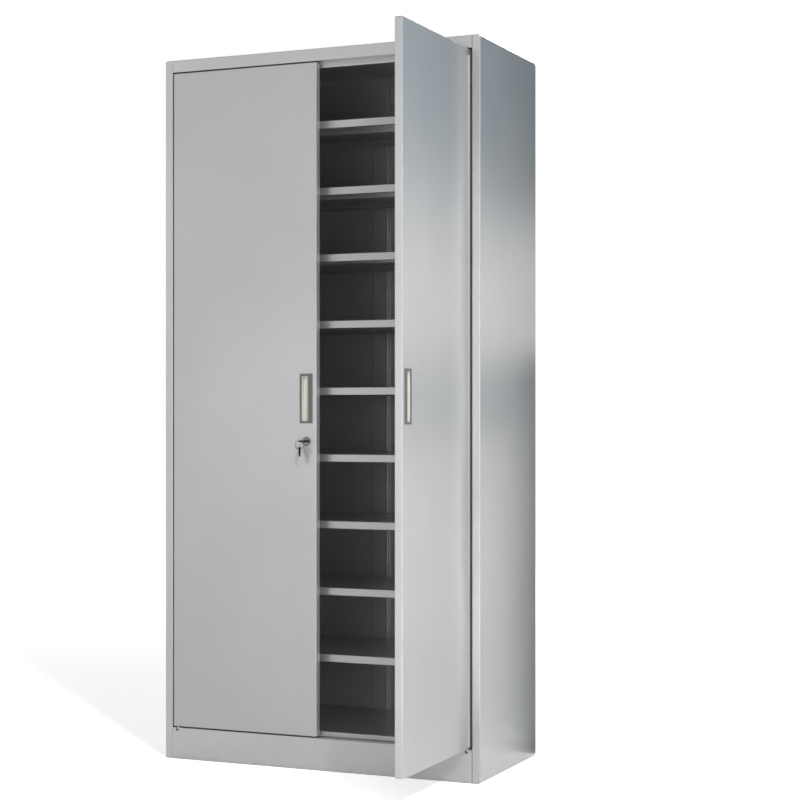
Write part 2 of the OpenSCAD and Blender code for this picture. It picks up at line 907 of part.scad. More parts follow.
module right_pull_frame() {
  swung() pull_frame_part();
}

module left_pull_frame() {
  mirror([1, 0, 0]) pull_frame_part();
}

// Cup of a flush pull, with two ears that snap behind the door sheet
module pull_cup_part() {
  lo = [pull_x - cup_w / 2, 0, pull_z - cup_h / 2];
  hi = [pull_x + cup_w / 2, cup_d, pull_z + cup_h / 2];
  ear_x = cup_ear_w / 2;
  color(cup_grey)
    difference() {
      union() {
        box(lo, hi);
        box([pull_x - ear_x, sheet, lo[2] - cup_ear], [pull_x + ear_x, sheet + cup_ear, hi[2] + cup_ear]);
      }
      along_y(-over, cup_d - cup_wall)
        soft_rect([lo[0] + cup_wall, lo[2] + cup_wall], [hi[0] - cup_wall, hi[2] - cup_wall],
          [bend, bend, bend, bend]);
    }
}

module right_pull_cup() {
  swung() pull_cup_part();
}

module left_pull_cup() {
  mirror([1, 0, 0]) pull_cup_part();
}

// Draws its children about the lock axis, with y along the axis
module at_lock() {
  translate([lock_x, 0, lock_z]) children();
}

// Rosette and barrel of the lock, in one casting
module lock_housing() {
  color(chrome)
    at_lock()
      rotate([-90, 0, 0])
        difference() {
          union() {
            translate([0, 0, -rosette_t])
              cylinder(d1 = rosette_d - 2 * rosette_bevel, d2 = rosette_d, h = rosette_t / 2);
            translate([0, 0, -rosette_t / 2]) cylinder(d = rosette_d, h = rosette_t / 2);
            translate([0, 0, -rosette_t / 2]) cylinder(d = barrel_d, h = barrel_end + rosette_t / 2);
          }
          translate([0, 0, -rosette_t - over])
            cylinder(d = plug_d + 2 * plug_clear, h = rosette_t + barrel_end + 2 * over);
        }
}

// Nut that clamps the lock to the door sheet
module lock_nut() {
  color(steel)
    at_lock()
      rotate([-90, 0, 0])
        difference() {
          translate([0, 0, sheet]) cylinder(d = nut_af / cos(30), h = nut_t, $fn = 6);
          cylinder(d = barrel_d + fit, h = nut_t + 2 * over);
        }
}

// Turning plug with its keyway and the square-shouldered tail for the cam
module lock_plug() {
  color(steel)
    at_lock()
      difference() {
        union() {
          rod_y(0, 0, -rosette_t - plug_proud, barrel_end, plug_d);
          rod_y(0, 0, barrel_end - over, cam_y0 + cam_t, 2 * tail_r);
        }
        box([-blade_w / 2 - keyway_clear, -rosette_t - over, -blade_t / 2 - keyway_clear],
          [blade_w / 2 + keyway_clear, key_front + blade_l + over, blade_t / 2 + keyway_clear]);
        rod_y(0, 0, cam_y0 - screw_l - mid, cam_y0 + cam_t + over, screw_d);
      }
}

// Cam with its locking tongue and the two pins that drive the lock rods
module lock_cam() {
  color(steel)
    at_lock() {
      difference() {
        union() {
          rod_y(0, 0, cam_y0, cam_y0 + cam_t, 2 * cam_disc_r);
          along_y(cam_y0, cam_y0 + cam_t)
            soft_rect([-tongue_w / 2, -tongue_l], [tongue_w / 2, 0], [tongue_round, tongue_round, 0, 0]);
        }
        rod_y(0, 0, cam_y0 - over, cam_y0 + cam_t + over, 2 * tail_r + 2 * press);
      }
      for (s = [1, -1]) {
        rod_y(s * cam_pin_z, -s * cam_pin_z, yoke_y0 - fit, cam_y0 + mid, cam_pin_d);
      }
    }
}

module cam_screw() {
  color(steel)
    at_lock()
      difference() {
        union() {
          rod_y(0, 0, cam_y0 + cam_t, cam_y0 + cam_t + screw_head_t, screw_head_d);
          rod_y(0, 0, cam_y0 - screw_l, cam_y0 + cam_t + over, screw_d - 2 * plug_clear);
        }
        along_y(cam_y0 + cam_t + screw_head_t - screw_slot_t, cam_y0 + cam_t + screw_head_t + over)
          square([screw_head_d + 2 * over, screw_slot_w], center = true);
      }
}

// Upper lock rod with its forked plate; turned half a turn about the lock it is the lower one
module lock_rod(length) {
  color(steel) {
    rod_z(rod_side, rod_depth, rod_start, length, rod_d);
    box([rod_side - rod_d / 2, rod_depth, rod_start], [rod_side + rod_d / 2, yoke_y0 + yoke_t, yoke_top]);
    difference() {
      box([yoke_x0, yoke_y0, -cam_pin_z - cam_pin_d / 2 - yoke_end], [yoke_x1, yoke_y0 + yoke_t, yoke_top]);
      box([yoke_x0 - over, yoke_y0 - over, -cam_pin_z - cam_pin_d / 2 - yoke_slack],
        [cam_pin_r + cam_pin_d / 2 + yoke_slack, cam_y0, -cam_pin_z + cam_pin_d / 2 + yoke_slack]);
    }
  }
}

module upper_lock_rod() {
  at_lock() lock_rod(door_z1 - rod_end - lock_z);
}

module lower_lock_rod() {
  at_lock() rotate([0, 180, 0]) lock_rod(lock_z - door_z0 - rod_end);
}

// Angle bracket on the door sheet with a hole that guides a rod
module rod_guide(x, z) {
  difference() {
    union() {
      box([x - guide_w / 2, sheet, z], [x + guide_w / 2, sheet + guide_t, z + guide_h]);
      box([x - guide_w / 2, sheet, z], [x + guide_w / 2, door_t - fit, z + guide_t]);
    }
    rod_z(x, rod_depth, z - over, z + guide_t + over, rod_d + 2 * press);
  }
}

module rod_guides() {
  color(steel)
    for (share = guide_span) {
      rod_guide(lock_x + rod_side, lock_z + share * (door_z1 - lock_z));
      rod_guide(lock_x - rod_side, lock_z - share * (lock_z - door_z0));
    }
}

// Moulded head of a key, flat in (x, y), with its hole at the origin and its blade towards +y
module key_head_part() {
  color(nylon)
    translate([0, 0, -bow_t / 2])
      difference() {
        union() {
          cylinder(d = bow_d, h = bow_t);
          translate([-shoulder_w / 2, 0, 0]) cube([shoulder_w, shoulder_y, bow_t]);
        }
        translate([0, 0, -over]) cylinder(d = bow_hole, h = bow_t + 2 * over);
      }
}

// Blade of a key, with its cuts along one edge
module key_blade_part() {
  color(steel)
    difference() {
      translate([-blade_w / 2, shoulder_y, -blade_t / 2]) cube([blade_w, blade_l, blade_t]);
      for (i = [0:cut_count - 1]) {
        x = blade_w / 2 + cut_out - cut_vary * ((i + 1) % 3);
        y = shoulder_y + blade_l * (cut_first + cut_share * i);
        translate([x, y, -blade_t])
          rotate([0, 0, 45]) translate([-cut_w / 2, -cut_w / 2, 0]) cube([cut_w, cut_w, 2 * blade_t]);
      }
    }
}

module at_key() {
  translate([lock_x, -bow_out, lock_z]) children();
}

module key_head() {
  at_key() key_head_part();
}

module key_blade() {
  at_key() key_blade_part();
}

// Ring that hangs from the inserted key's head
module key_ring() {
  color(chrome)
    translate([ring_x, ring_y, ring_z])
      rotate([90, 0, ring_turn])
        rotate_extrude($fn = 96) translate([ring_mid_r, 0]) circle(d = ring_t, $fn = 24);
}

// The spare key hangs edge on from the bottom of the ring
module at_spare() {
  translate([ring_x, ring_y, spare_z]) rotate([-90, 0, 90 + spare_turn]) children();
}

module spare_key_head() {
  at_spare() key_head_part();
}

module spare_key_blade() {
  at_spare() key_blade_part();
}

left_side_panel();
right_side_panel();
top_panel();
base_deck();
plinth_front();
plinth_rear();
back_panel();
back_stiffener();
left_front_upright();
left_rear_upright();
right_front_upright();
right_rear_upright();
shelf_clips();
carcass_bolts();
back_rivets();
top_hinge_brackets();
bottom_hinge_brackets();
hinge_pins();
thrust_washers();
for (k = [1:shelf_count]) {
  shelf(k);
}
left_door_panel();
left_door_channel();
left_hinge_plates();
left_hinge_bushes();
left_door_bumpers();
left_pull_frame();
left_pull_cup();
lock_housing();
lock_nut();
rod_guides();
right_door_panel();
right_door_channel();
right_hinge_plates();
right_hinge_bushes();
right_door_bumpers();
right_pull_frame();
right_pull_cup();
lock_plug();
lock_cam();
cam_screw();
upper_lock_rod();
lower_lock_rod();
key_head();
key_blade();
key_ring();
spare_key_head();
spare_key_blade();
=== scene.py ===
"""Looks of a two-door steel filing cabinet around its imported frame, in metres, +Z up."""
import math

import bmesh
import bpy
from mathutils import Matrix, Vector


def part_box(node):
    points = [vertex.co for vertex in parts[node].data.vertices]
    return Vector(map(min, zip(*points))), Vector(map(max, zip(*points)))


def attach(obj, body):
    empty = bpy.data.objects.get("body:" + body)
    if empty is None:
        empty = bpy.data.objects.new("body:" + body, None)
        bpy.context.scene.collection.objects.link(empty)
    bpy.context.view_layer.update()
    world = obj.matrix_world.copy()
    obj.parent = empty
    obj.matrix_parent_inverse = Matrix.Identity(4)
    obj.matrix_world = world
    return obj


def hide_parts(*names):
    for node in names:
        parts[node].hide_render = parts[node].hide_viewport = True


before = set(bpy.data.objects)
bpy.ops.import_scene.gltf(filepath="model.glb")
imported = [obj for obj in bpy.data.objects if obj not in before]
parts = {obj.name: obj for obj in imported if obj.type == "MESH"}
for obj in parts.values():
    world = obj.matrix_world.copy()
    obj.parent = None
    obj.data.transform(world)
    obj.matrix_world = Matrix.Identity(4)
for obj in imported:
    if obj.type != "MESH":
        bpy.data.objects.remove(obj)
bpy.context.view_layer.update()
scene = bpy.context.scene


# ---------------------------------------------------------------- camera
CAMERA_PLACE = (2.0817, -4.0908, 0.9142)
CAMERA_HEADING = 0.3935
SENSOR_MM = 36.0
FOCAL_MM = 80.416
SHIFT_X, SHIFT_Y = -0.06905, 0.01701
FARTHEST = 200.0

lens_data = bpy.data.cameras.new("photo_camera")
lens_data.sensor_width = SENSOR_MM
lens_data.lens = FOCAL_MM
lens_data.shift_x = SHIFT_X
lens_data.shift_y = SHIFT_Y
lens_data.clip_end = FARTHEST
camera = bpy.data.objects.new("photo_camera", lens_data)
camera.location = CAMERA_PLACE
camera.rotation_euler = (math.pi / 2, 0.0, CAMERA_HEADING)
scene.collection.objects.link(camera)
scene.camera = camera


# ---------------------------------------------------------------- shader graphs
PROBE_SAMPLES = 4
SEED_SHIFT = (1.0, 1.7, 0.3)
EDGE_TURN = (0.02, 0.16)


def linear(r, g, b):
    """A colour written in display values from 0 to 255, as linear light."""
    def one(v):
        v = v / 255.0
        return v / 12.92 if v <= 0.04045 else ((v + 0.055) / 1.055) ** 2.4
    return (one(r), one(g), one(b), 1.0)


def grey(shade):
    """A grey or white written in linear light."""
    return (shade, shade, shade, 1.0)


class Graph:
    """A short way to write the nodes of one material or of the world."""

    def __init__(self, owner, output, coords):
        owner.use_nodes = True
        self.owner = owner
        self.tree = owner.node_tree
        self.tree.nodes.clear()
        self.output = self.tree.nodes.new(output)
        self.coords = self.tree.nodes.new("ShaderNodeTexCoord").outputs[coords]

    def put(self, socket, value):
        if isinstance(value, bpy.types.NodeSocket):
            self.tree.links.new(value, socket)
        else:
            socket.default_value = value

    def node(self, kind, fields=None, **inputs):
        made = self.tree.nodes.new(kind)
        for key, value in (fields or {}).items():
            setattr(made, key, value)
        for key, value in inputs.items():
            self.put(made.inputs[key.replace("_", " ")], value)
        return made

    def math(self, operation, a, b, clamp=False):
        made = self.node("ShaderNodeMath", {"operation": operation, "use_clamp": clamp})
        self.put(made.inputs[0], a)
        self.put(made.inputs[1], b)
        return made.outputs[0]

    def times(self, a, b):
        return self.math("MULTIPLY", a, b)

    def plus(self, a, b, clamp=False):
        return self.math("ADD", a, b, clamp)

    def one_less(self, value):
        return self.math("SUBTRACT", 1.0, value)

    def noise(self, scale, detail=2.0, rough=0.5, stretch=None, seed=0.0):
        where = self.coords
        if stretch is not None or seed:
            mapping = self.node("ShaderNodeMapping", Vector=where)
            mapping.inputs["Scale"].default_value = stretch or (1.0, 1.0, 1.0)
            mapping.inputs["Location"].default_value = [seed * step for step in SEED_SHIFT]
            where = mapping.outputs[0]
        made = self.node("ShaderNodeTexNoise", Vector=where, Scale=scale, Detail=detail,
                         Roughness=rough)
        return made.outputs["Fac"]

    def span(self, value, low, high, to_low=0.0, to_high=1.0, smooth=False):
        """The value carried from low..high to to_low..to_high, and held beyond."""
        fields = {"clamp": True, "interpolation_type": "SMOOTHSTEP" if smooth else "LINEAR"}
        made = self.node("ShaderNodeMapRange", fields, Value=value, From_Min=low, From_Max=high,
                         To_Min=to_low, To_Max=to_high)
        return made.outputs["Result"]

    def band(self, value, rise, fall):
        """1 between the end of the rise and the end of the fall, with soft flanks."""
        return self.times(self.span(value, *rise, smooth=True),
                          self.span(value, *fall, smooth=True))

    def mix(self, factor, a, b):
        made = self.node("ShaderNodeMix", {"data_type": "RGBA"})
        self.put(made.inputs[0], factor)
        self.put(made.inputs[6], a)
        self.put(made.inputs[7], b)
        return made.outputs[2]

    def axis(self, index):
        return self.node("ShaderNodeSeparateXYZ", Vector=self.coords).outputs[index]

    def round_edges(self, radius):
        """Shading normal that takes the hardness off cut edges."""
        made = self.node("ShaderNodeBevel", {"samples": PROBE_SAMPLES}, Radius=radius)
        return made.outputs[0]

    def edge(self, radius):
        """1 on edges sharper than the radius, 0 on open faces."""
        true = self.tree.nodes.new("ShaderNodeNewGeometry")
        dot = self.node("ShaderNodeVectorMath", {"operation": "DOT_PRODUCT"})
        self.put(dot.inputs[0], self.round_edges(radius))
        self.put(dot.inputs[1], true.outputs["Normal"])
        return self.span(self.one_less(dot.outputs["Value"]), *EDGE_TURN)

    def hollow(self, distance):
        """0 in the open, towards 1 in seams and corners."""
        made = self.node("ShaderNodeAmbientOcclusion", {"samples": PROBE_SAMPLES},
                         Distance=distance)
        return self.one_less(made.outputs["AO"])

    def bump(self, height, distance, strength, normal=None):
        made = self.node("ShaderNodeBump", Height=height, Distance=distance, Strength=strength)
        if normal is not None:
            self.put(made.inputs["Normal"], normal)
        return made.outputs["Normal"]

    def seen(self):
        """1 for rays from the camera, from a mirror or through clear matter, 0 for lighting."""
        path = self.node("ShaderNodeLightPath").outputs
        either = self.math("MAXIMUM", path["Is Camera Ray"], path["Is Glossy Ray"])
        return self.math("MAXIMUM", either, path["Is Transmission Ray"])

    def blend(self, factor, one, two):
        made = self.node("ShaderNodeMixShader")
        for socket, value in zip(made.inputs, (factor, one, two)):
            self.put(socket, value)
        return made.outputs[0]

    def show(self, shader):
        self.tree.links.new(shader, self.output.inputs["Surface"])
        return self.owner

    def principled(self, **inputs):
        return self.show(self.node("ShaderNodeBsdfPrincipled", **inputs).outputs[0])


def material_graph(name):
    return Graph(bpy.data.materials.new(name), "ShaderNodeOutputMaterial", "Object")


# ---------------------------------------------------------------- materials
# Pale grey that scuffed edges turn to: worn paint and a painted highlight on the edges.
RUBBED_HIGHLIGHT = linear(206, 207, 206)
RUBBED_EDGE, RUBBED_HIGHLIGHT_SHARE, RUBBED_DULL = 0.0012, 0.30, 0.08
# Dark grey that seams and corners turn to by ambient occlusion, as painted shade, and that dirt
# splashes near the floor turn to.
SHADE_AND_DUST = linear(104, 102, 98)
SEAM_REACH, SEAM_SHADE = 0.012, 0.40
FLOOR_DIRT_TOP, FLOOR_DIRT = 0.10, 0.10
HAND_ZONE = ((0.72, 0.86), (1.18, 1.02))
HAND_DULL = 0.025
GLOSS_LESS, GLOSS_MORE = -0.012, 0.03
WAVE_DEPTH, WAVE_STRENGTH = 0.0011, 0.30
PEEL_DEPTH, PEEL_STRENGTH = 0.00006, 0.35
COAT_SHARE, COAT_IOR = 0.8, 1.5


def powder_coat(name, colour, dark, light, metal=0.45, rough=0.295, coat_rough=0.17,
                touched=False):
    """Semi gloss powder coat: orange peel, uneven tone, painted shade in corners, dirt splashes
    near the floor, rubbed edges with a painted highlight.

    A base roughness under about 0.28 leaves white flakes when the picture is denoised.
    """
    g = material_graph(name)
    clouds = g.noise(2.2, 3.0, 0.55)
    mottle = g.noise(26.0, 4.0, 0.6, seed=3.1)
    flecks = g.noise(900.0, 1.0, 0.5, seed=7.7)
    tone = g.mix(g.span(clouds, 0.3, 0.7), dark, light)
    tone = g.mix(g.span(mottle, 0.35, 0.7, 0.0, 0.35), tone, colour)
    tone = g.mix(g.span(flecks, 0.62, 0.75, 0.0, 0.10), tone, light)

    # Scuffed edges lighten, as worn paint and a painted highlight, and turn duller.
    scuffs = g.noise(60.0, 5.0, 0.7, seed=1.3)
    wear_and_highlight = g.times(g.edge(RUBBED_EDGE), g.span(scuffs, 0.42, 0.62))
    tone = g.mix(g.times(wear_and_highlight, RUBBED_HIGHLIGHT_SHARE), tone, RUBBED_HIGHLIGHT)

    drops = g.noise(45.0, 4.0, 0.65, seed=5.0)
    near_floor = g.span(g.axis(2), 0.0, FLOOR_DIRT_TOP, FLOOR_DIRT, 0.0, smooth=True)
    splashes = g.times(near_floor, g.span(drops, 0.4, 0.7))
    # Painted shade: seams and corners darken by ambient occlusion; near the floor, splashes of
    # dirt darken too.
    shade_and_dirt = g.plus(g.times(g.hollow(SEAM_REACH), SEAM_SHADE), splashes, clamp=True)
    tone = g.mix(shade_and_dirt, tone, SHADE_AND_DUST)

    patches = g.noise(9.0, 4.0, 0.6, seed=2.2)
    gloss = g.span(patches, 0.3, 0.7, rough + GLOSS_LESS, rough + GLOSS_MORE)
    if touched:
        prints = g.span(g.noise(75.0, 5.0, 0.7, seed=9.0), 0.46, 0.66)
        prints = g.times(prints, g.band(g.axis(2), *HAND_ZONE))
        gloss = g.plus(gloss, g.times(prints, HAND_DULL))
    gloss = g.plus(gloss, g.times(wear_and_highlight, RUBBED_DULL), clamp=True)

    waves = g.bump(g.noise(3.2, 1.0, 0.4, seed=6.0), WAVE_DEPTH, WAVE_STRENGTH)
    peel = g.bump(g.noise(520.0, 2.0, 0.5, seed=4.0), PEEL_DEPTH, PEEL_STRENGTH, waves)
    return g.principled(Base_Color=tone, Metallic=metal, Roughness=gloss, Normal=peel,
                        Coat_Weight=COAT_SHARE, Coat_Roughness=coat_rough, Coat_IOR=COAT_IOR)


STEEL_DULL = linear(150, 152, 150)
# Dark grey that seams and corners turn to by ambient occlusion: painted shade.
STEEL_SHADE = linear(52, 50, 47)
STEEL_REACH, STEEL_SHADE_SHARE = 0.006, 0.5
STEEL_SOFTNESS = 0.0004
CRYSTAL_SCALE, CRYSTAL_SHARE = 240.0, 0.06
SCRATCH_DEPTH = 0.00004


def bare_steel(name, colour, rough=0.34, scratch=(1.0, 1.0, 12.0)):
    """Zinc plated steel: faint crystals, drawn scratches and dull patches."""
    g = material_graph(name)
    grain = g.noise(420.0, 3.0, 0.6, stretch=scratch)
    patch = g.noise(70.0, 4.0, 0.6, seed=2.0)
    crystal = g.node("ShaderNodeTexVoronoi", Vector=g.coords, Scale=CRYSTAL_SCALE)
    tone = g.mix(g.span(patch, 0.35, 0.65, 0.0, 0.5), colour, STEEL_DULL)
    tone = g.mix(CRYSTAL_SHARE, tone, crystal.outputs["Color"])
    # Painted shade: darker in seams and corners.
    tone = g.mix(g.times(g.hollow(STEEL_REACH), STEEL_SHADE_SHARE), tone, STEEL_SHADE)
    gloss = g.plus(g.span(patch, 0.3, 0.7, rough - 0.06, rough + 0.10),
                   g.span(grain, 0.3, 0.7, -0.03, 0.05))
    normal = g.bump(grain, SCRATCH_DEPTH, 0.4, g.round_edges(STEEL_SOFTNESS))
    return g.principled(Base_Color=tone, Metallic=1.0, Roughness=gloss, Normal=normal)


CHROME_HAZE = linear(112, 112, 112)
# Near black that seams and corners turn to by ambient occlusion: painted shade.
CHROME_SHADE = linear(30, 30, 30)
CHROME_REACH, CHROME_SHADE_SHARE = 0.004, 0.6
CHROME_EDGE, CHROME_EDGE_DULL = 0.0005, 0.06
CHROME_SOFTNESS = 0.0003
HAIRLINE_DEPTH = 0.00001


def bright_chrome(name, colour, rough=0.11):
    """Plated metal: smooth, with fine hairlines, haze and duller edges."""
    g = material_graph(name)
    hair = g.noise(900.0, 3.0, 0.7, stretch=(1.0, 1.0, 0.15))
    haze = g.noise(240.0, 4.0, 0.6, seed=5.0)
    tone = g.mix(g.span(haze, 0.4, 0.7, 0.0, 0.35), colour, CHROME_HAZE)
    # Painted shade: darker in seams and corners.
    tone = g.mix(g.times(g.hollow(CHROME_REACH), CHROME_SHADE_SHARE), tone, CHROME_SHADE)
    gloss = g.plus(g.span(haze, 0.35, 0.65, rough, rough + 0.10),
                   g.span(hair, 0.45, 0.7, 0.0, 0.06))
    gloss = g.plus(gloss, g.times(g.edge(CHROME_EDGE), CHROME_EDGE_DULL))
    normal = g.bump(hair, HAIRLINE_DEPTH, 0.3, g.round_edges(CHROME_SOFTNESS))
    return g.principled(Base_Color=tone, Metallic=1.0, Roughness=gloss, Normal=normal)


# Near black that seams and corners turn to by ambient occlusion: painted shade.
MOULD_SHADE = linear(24, 24, 24)
MOULD_REACH, MOULD_SHADE_SHARE = 0.005, 0.35
# Scuffed edges lighten towards the lighter colour, as wear and a painted highlight.
MOULD_EDGE, MOULD_RUBBED_HIGHLIGHT_SHARE, MOULD_RUBBED_DULL = 0.0006, 0.35, 0.10
MOULD_SOFTNESS = 0.0004


def moulded(name, colour, light, rough=0.42, grain=900.0, depth=0.00004, shine=0.5):
    """Moulded plastic or rubber: fine spark texture, rubbed edges with a painted highlight,
    painted shade in corners.
    """
    g = material_graph(name)
    spark = g.noise(grain, 3.0, 0.6)
    blot = g.noise(60.0, 4.0, 0.6, seed=2.5)
    scuffs = g.noise(300.0, 4.0, 0.7, seed=8.0)
    wear_and_highlight = g.times(g.edge(MOULD_EDGE), g.span(scuffs, 0.4, 0.6))
    tone = g.mix(g.span(blot, 0.35, 0.7, 0.0, 0.6), colour, light)
    # Scuffed edges lighten: wear and a painted highlight.
    tone = g.mix(g.times(wear_and_highlight, MOULD_RUBBED_HIGHLIGHT_SHARE), tone, light)
    # Painted shade: darker in seams and corners.
    tone = g.mix(g.times(g.hollow(MOULD_REACH), MOULD_SHADE_SHARE), tone, MOULD_SHADE)
    gloss = g.plus(g.span(blot, 0.3, 0.7, rough - 0.04, rough + 0.05),
                   g.times(wear_and_highlight, MOULD_RUBBED_DULL))
    normal = g.bump(spark, depth, 0.5, g.round_edges(MOULD_SOFTNESS))
    return g.principled(Base_Color=tone, Roughness=gloss, Normal=normal,
                        Specular_IOR_Level=shine)


paint_front = powder_coat("paint_front", linear(177, 178, 179), linear(173, 174, 175),
                          linear(181, 182, 183), metal=0.30, coat_rough=0.25, touched=True)
paint_frame = powder_coat("paint_frame", linear(183, 184, 185), linear(178, 179, 180),
                          linear(187, 188, 189))
# Shelves, base deck and rear plinth take a darker copy of the frame paint: painted shade for the
# shadow inside the open cabinet.
shaded_shelf_paint = powder_coat("shaded_shelf_paint", linear(166, 167, 169), linear(161, 162, 164),
                          linear(170, 171, 173), rough=0.32)
paint_inner = powder_coat("paint_inner", linear(170, 171, 172), linear(165, 166, 167),
                          linear(175, 176, 177), rough=0.36)
zinc = bare_steel("zinc_steel", linear(188, 190, 191))
zinc_rod = bare_steel("zinc_rod", linear(190, 192, 193), 0.30, (8.0, 8.0, 0.5))
nickel = bare_steel("nickel_blade", linear(168, 166, 160), 0.32, (1.0, 8.0, 1.0))
chrome = bright_chrome("dark_chrome", linear(104, 104, 106))
ring_chrome = bright_chrome("ring_chrome", linear(64, 64, 66), 0.14)
nylon = moulded("black_nylon", linear(34, 34, 36), linear(52, 52, 54), 0.45)
key_black = moulded("key_plastic", linear(12, 12, 13), linear(22, 22, 23), 0.36,
                    grain=1400.0, depth=0.00002, shine=0.22)
rubber = moulded("bumper_rubber", linear(30, 30, 31), linear(48, 47, 46), 0.72,
                 grain=700.0, depth=0.00006)
frame_grey = moulded("pull_frame_grey", linear(100, 102, 100), linear(113, 115, 112), 0.40,
                     shine=0.28)
cup_grey = moulded("pull_cup_grey", linear(220, 222, 211), linear(226, 228, 218), 0.34)

LOOKS = [
    (paint_frame, ["left_side_panel", "right_side_panel", "top_panel", "plinth_front"]),
    (paint_front, ["left_door_panel", "right_door_panel"]),
    (shaded_shelf_paint, ["base_deck", "plinth_rear"] + ["shelf_%d" % k for k in range(1, 10)]),
    (paint_inner, ["back_panel", "back_stiffener", "left_door_channel", "right_door_channel",
                   "left_front_upright", "left_rear_upright",
                   "right_front_upright", "right_rear_upright"]),
    (zinc, ["shelf_clips", "carcass_bolts", "back_rivets", "top_hinge_brackets",
            "bottom_hinge_brackets", "hinge_pins", "thrust_washers", "left_hinge_plates",
            "right_hinge_plates", "rod_guides", "lock_nut", "lock_cam", "cam_screw"]),
    (zinc_rod, ["upper_lock_rod", "lower_lock_rod"]),
    (chrome, ["lock_housing", "lock_plug", "key_ring"]),
    (nickel, ["key_blade", "spare_key_blade"]),
    (nylon, ["left_hinge_bushes", "right_hinge_bushes"]),
    (key_black, ["key_head", "spare_key_head"]),
    (rubber, ["left_door_bumpers", "right_door_bumpers"]),
    (frame_grey, ["left_pull_frame", "right_pull_frame"]),
    (cup_grey, ["left_pull_cup", "right_pull_cup"]),
]
for material, names in LOOKS:
    for name in names:
        slots = parts[name].material_slots
        for slot in slots:
            slot.material = material
        if not len(slots):
            parts[name].data.materials.append(material)


# ---------------------------------------------------------------- key ring and key heads
RING_D = 0.025
RING_TURN = math.radians(15.0)
WIRE_D = 0.0015
WIRE_START = math.radians(200)
WINDINGS = 1.96
RING_STEPS = 300
WIRE_SIDES = 12
HALF_AXIAL, HALF_RADIAL = 0.184 * WIRE_D, 0.368 * WIRE_D
WINDING_SHIFT = 0.20 * WIRE_D
CROSSING = 0.06
CORNER_FILL = 0.35
TIP_WIDTH, TIP_GROWTH = 0.55, 9.0


def wire_section(centre, frame_turn, share):
    """Corners of the flat wire's section at a share of its length."""
    angle = 2 * math.pi * WINDINGS * share + WIRE_START
    side = max(-1.0, min(1.0, (share - 0.5) / CROSSING))
    side = 0.5 * side * (3 - side * side)
    taper = min(1.0, TIP_WIDTH + TIP_GROWTH * min(share, 1.0 - share))
    corners = []
    for k in range(WIRE_SIDES):
        a = 2 * math.pi * (k + 0.5) / WIRE_SIDES
        c, d = math.cos(a), math.sin(a)
        fill = 1.0 / max(abs(c), abs(d)) ** CORNER_FILL
        out = (RING_D - WIRE_D) / 2 + HALF_RADIAL * taper * c * fill
        along = side * WINDING_SHIFT + HALF_AXIAL * d * fill
        spot = Vector((math.cos(angle) * out, along, math.sin(angle) * out))
        corners.append(centre + frame_turn @ spot)
    return corners


def swept_ring(name, centre):
    """Split ring of flat wire, that steps sideways over itself for a short stretch."""
    cells = bmesh.new()
    frame_turn = Matrix.Rotation(RING_TURN, 3, "Z")
    loops = [[cells.verts.new(spot) for spot in wire_section(centre, frame_turn, i / RING_STEPS)]
             for i in range(RING_STEPS + 1)]
    for one, two in zip(loops, loops[1:]):
        for k in range(WIRE_SIDES):
            after = (k + 1) % WIRE_SIDES
            cells.faces.new((one[k], one[after], two[after], two[k]))
    cells.faces.new(loops[0][::-1])
    cells.faces.new(loops[-1])
    bmesh.ops.recalc_face_normals(cells, faces=cells.faces)
    mesh = bpy.data.meshes.new(name)
    cells.to_mesh(mesh)
    cells.free()
    for face in mesh.polygons:
        face.use_smooth = len(face.vertices) == 4
    made = bpy.data.objects.new(name, mesh)
    scene.collection.objects.link(made)
    return made


ring_low, ring_high = [Vector(corner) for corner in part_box("key_ring")]
split_ring = swept_ring("split_ring", (ring_low + ring_high) / 2)
split_ring.data.materials.append(ring_chrome)
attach(split_ring, "ring")
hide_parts("key_ring")


KEY_EDGE = 0.0011
KEY_EDGE_SEGMENTS = 3
FLAT_ANGLE = math.radians(2.0)
SHARP_ANGLE = math.radians(40.0)


def soft_edges(name):
    """Rounds the hard edges of a moulded CAD node."""
    node = parts[name]
    merge = node.modifiers.new("flat_faces", "DECIMATE")
    merge.decimate_type = "DISSOLVE"
    merge.angle_limit = FLAT_ANGLE
    bevel = node.modifiers.new("round_edges", "BEVEL")
    bevel.width = KEY_EDGE
    bevel.segments = KEY_EDGE_SEGMENTS
    bevel.limit_method = "ANGLE"
    bevel.angle_limit = SHARP_ANGLE
    bevel.harden_normals = False


for name in ("key_head", "spare_key_head"):
    soft_edges(name)


# ---------------------------------------------------------------- floor
FLOOR_HALF = 60.0
FLOOR_SHADE = 0.80
SPECKLE_SHADE = 0.97 * FLOOR_SHADE
LIFT_FROM, LIFT_TO = 1.5, 7.0
LIFT_NEAR, LIFT_FAR = 0.58, 0.82


def floor_material(name):
    """A pale floor that shows as white to the camera and in reflections, and keeps shadows."""
    g = material_graph(name)
    away = g.node("ShaderNodeVectorMath", {"operation": "LENGTH"})
    g.put(away.inputs[0], g.coords)
    lift = g.span(away.outputs["Value"], LIFT_FROM, LIFT_TO, LIFT_NEAR, LIFT_FAR, smooth=True)
    speckle = g.span(g.noise(3.0, 3.0, 0.6), 0.3, 0.7, 0.0, 0.25)
    colour = g.mix(speckle, grey(FLOOR_SHADE), grey(SPECKLE_SHADE))
    plain = g.node("ShaderNodeBsdfDiffuse", Color=colour, Roughness=0.6).outputs[0]
    glow = g.node("ShaderNodeEmission", Color=grey(1.0), Strength=lift).outputs[0]
    both = g.node("ShaderNodeAddShader")
    g.put(both.inputs[0], plain)
    g.put(both.inputs[1], glow)
    return g.show(g.blend(g.seen(), plain, both.outputs[0]))


